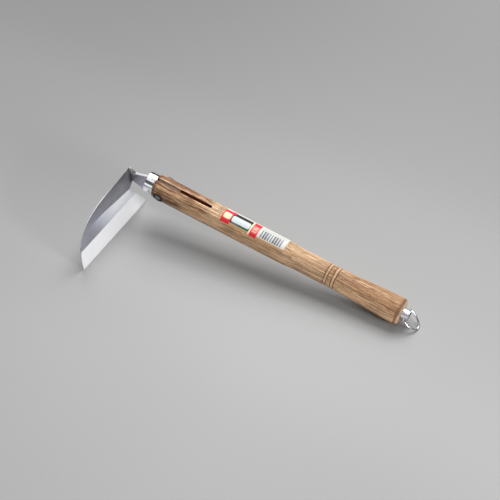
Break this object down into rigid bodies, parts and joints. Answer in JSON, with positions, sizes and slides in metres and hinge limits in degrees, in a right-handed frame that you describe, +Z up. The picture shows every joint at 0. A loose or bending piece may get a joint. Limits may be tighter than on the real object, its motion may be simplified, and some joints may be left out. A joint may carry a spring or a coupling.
{
  "type": "hand sickle",
  "caption": "Short-handled weeding sickle: a folded, single-bevel blade on a tang riveted into a slotted turned wooden handle with a ferrule and a hanging ring.",
  "frame": {"origin": "on the surface the sickle stands on, under the middle of its box as it stands on its cutting edge and on the rim of its butt", "axes": "+X along the handle from the blade to the butt, -Y along the blade from its heel to its tip, +Z up from the surface"},
  "size_m": [0.3622, 0.1257, 0.0635],
  "materials": {
    "blade_iron": "forged low-carbon iron, ground grey, satin",
    "edge_steel": "ground hard steel, bright",
    "handle_wood": "turned hardwood, scorched and brushed, clear lacquer",
    "wedge_wood": "darker wood, clear lacquer",
    "ferrule_metal": "polished plated steel",
    "rivet_metal": "bright steel",
    "washer_metal": "dark steel",
    "label_paper": "printed paper, satin",
    "cup_metal": "bright metal",
    "screw_metal": "plated steel",
    "ring_wire": "bright plated wire"
  },
  "bodies": {
    "sickle": {"handle": "handle_wood", "blade_body": "blade_iron", "edge_steel": "edge_steel", "kerf_wedge": "wedge_wood", "ferrule": "ferrule_metal", "tang_rivet": "rivet_metal", "rivet_washer_near": "washer_metal", "rivet_washer_far": "washer_metal", "label": "label_paper", "hanger_cup": "cup_metal", "hanger_screw": "screw_metal"},
    "ring": {"hanging_ring": "ring_wire"}
  },
  "joints": [
    {"name": "ring_swing", "type": "hinge", "parent": "sickle", "child": "ring", "pos_m": [0.1659, 0.04585, 0.01388], "axis": [0, 1, 0], "range_deg": [-146, 76]}
  ]
}
